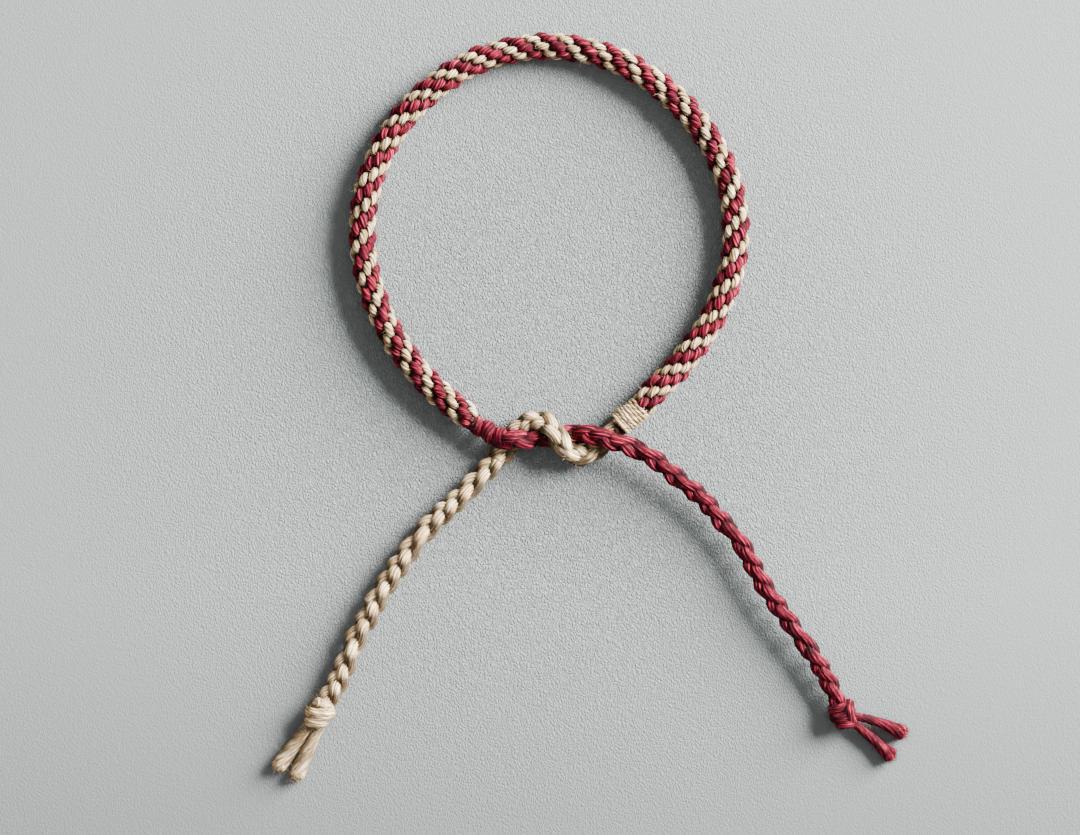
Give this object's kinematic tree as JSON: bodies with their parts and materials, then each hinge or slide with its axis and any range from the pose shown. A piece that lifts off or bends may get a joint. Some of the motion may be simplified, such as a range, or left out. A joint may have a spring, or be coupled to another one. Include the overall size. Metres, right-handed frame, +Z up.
{
  "type": "braided cord bracelet",
  "caption": "Round two-colour braided cotton cord bent into a wrist loop, with whipped ends, plaited ties half-knotted together and knotted free ends.",
  "frame": {"origin": "centre of the loop, whippings and half knot in plan, on the surface the bracelet lies on", "axes": "+Z up from the surface, through the flat-lying loop; +Y from the half knot across the wrist opening; +X towards the red tie's side"},
  "size_m": [0.1023, 0.1198, 0.005],
  "materials": {
    "red_cotton": "soft mercerised crimson cotton yarn",
    "beige_cotton": "soft matt beige cotton yarn"
  },
  "bodies": {
    "root": {"braid_loop": "red_cotton", "beige_wrap": "beige_cotton", "red_wrap": "red_cotton", "beige_crossing": "beige_cotton", "red_crossing": "red_cotton", "beige_tail": "beige_cotton", "red_tail": "red_cotton", "beige_knot": "beige_cotton", "red_knot": "red_cotton", "beige_end_1": "beige_cotton", "beige_end_2": "beige_cotton", "red_end_1": "red_cotton", "red_end_2": "red_cotton"}
  },
  "joints": []
}
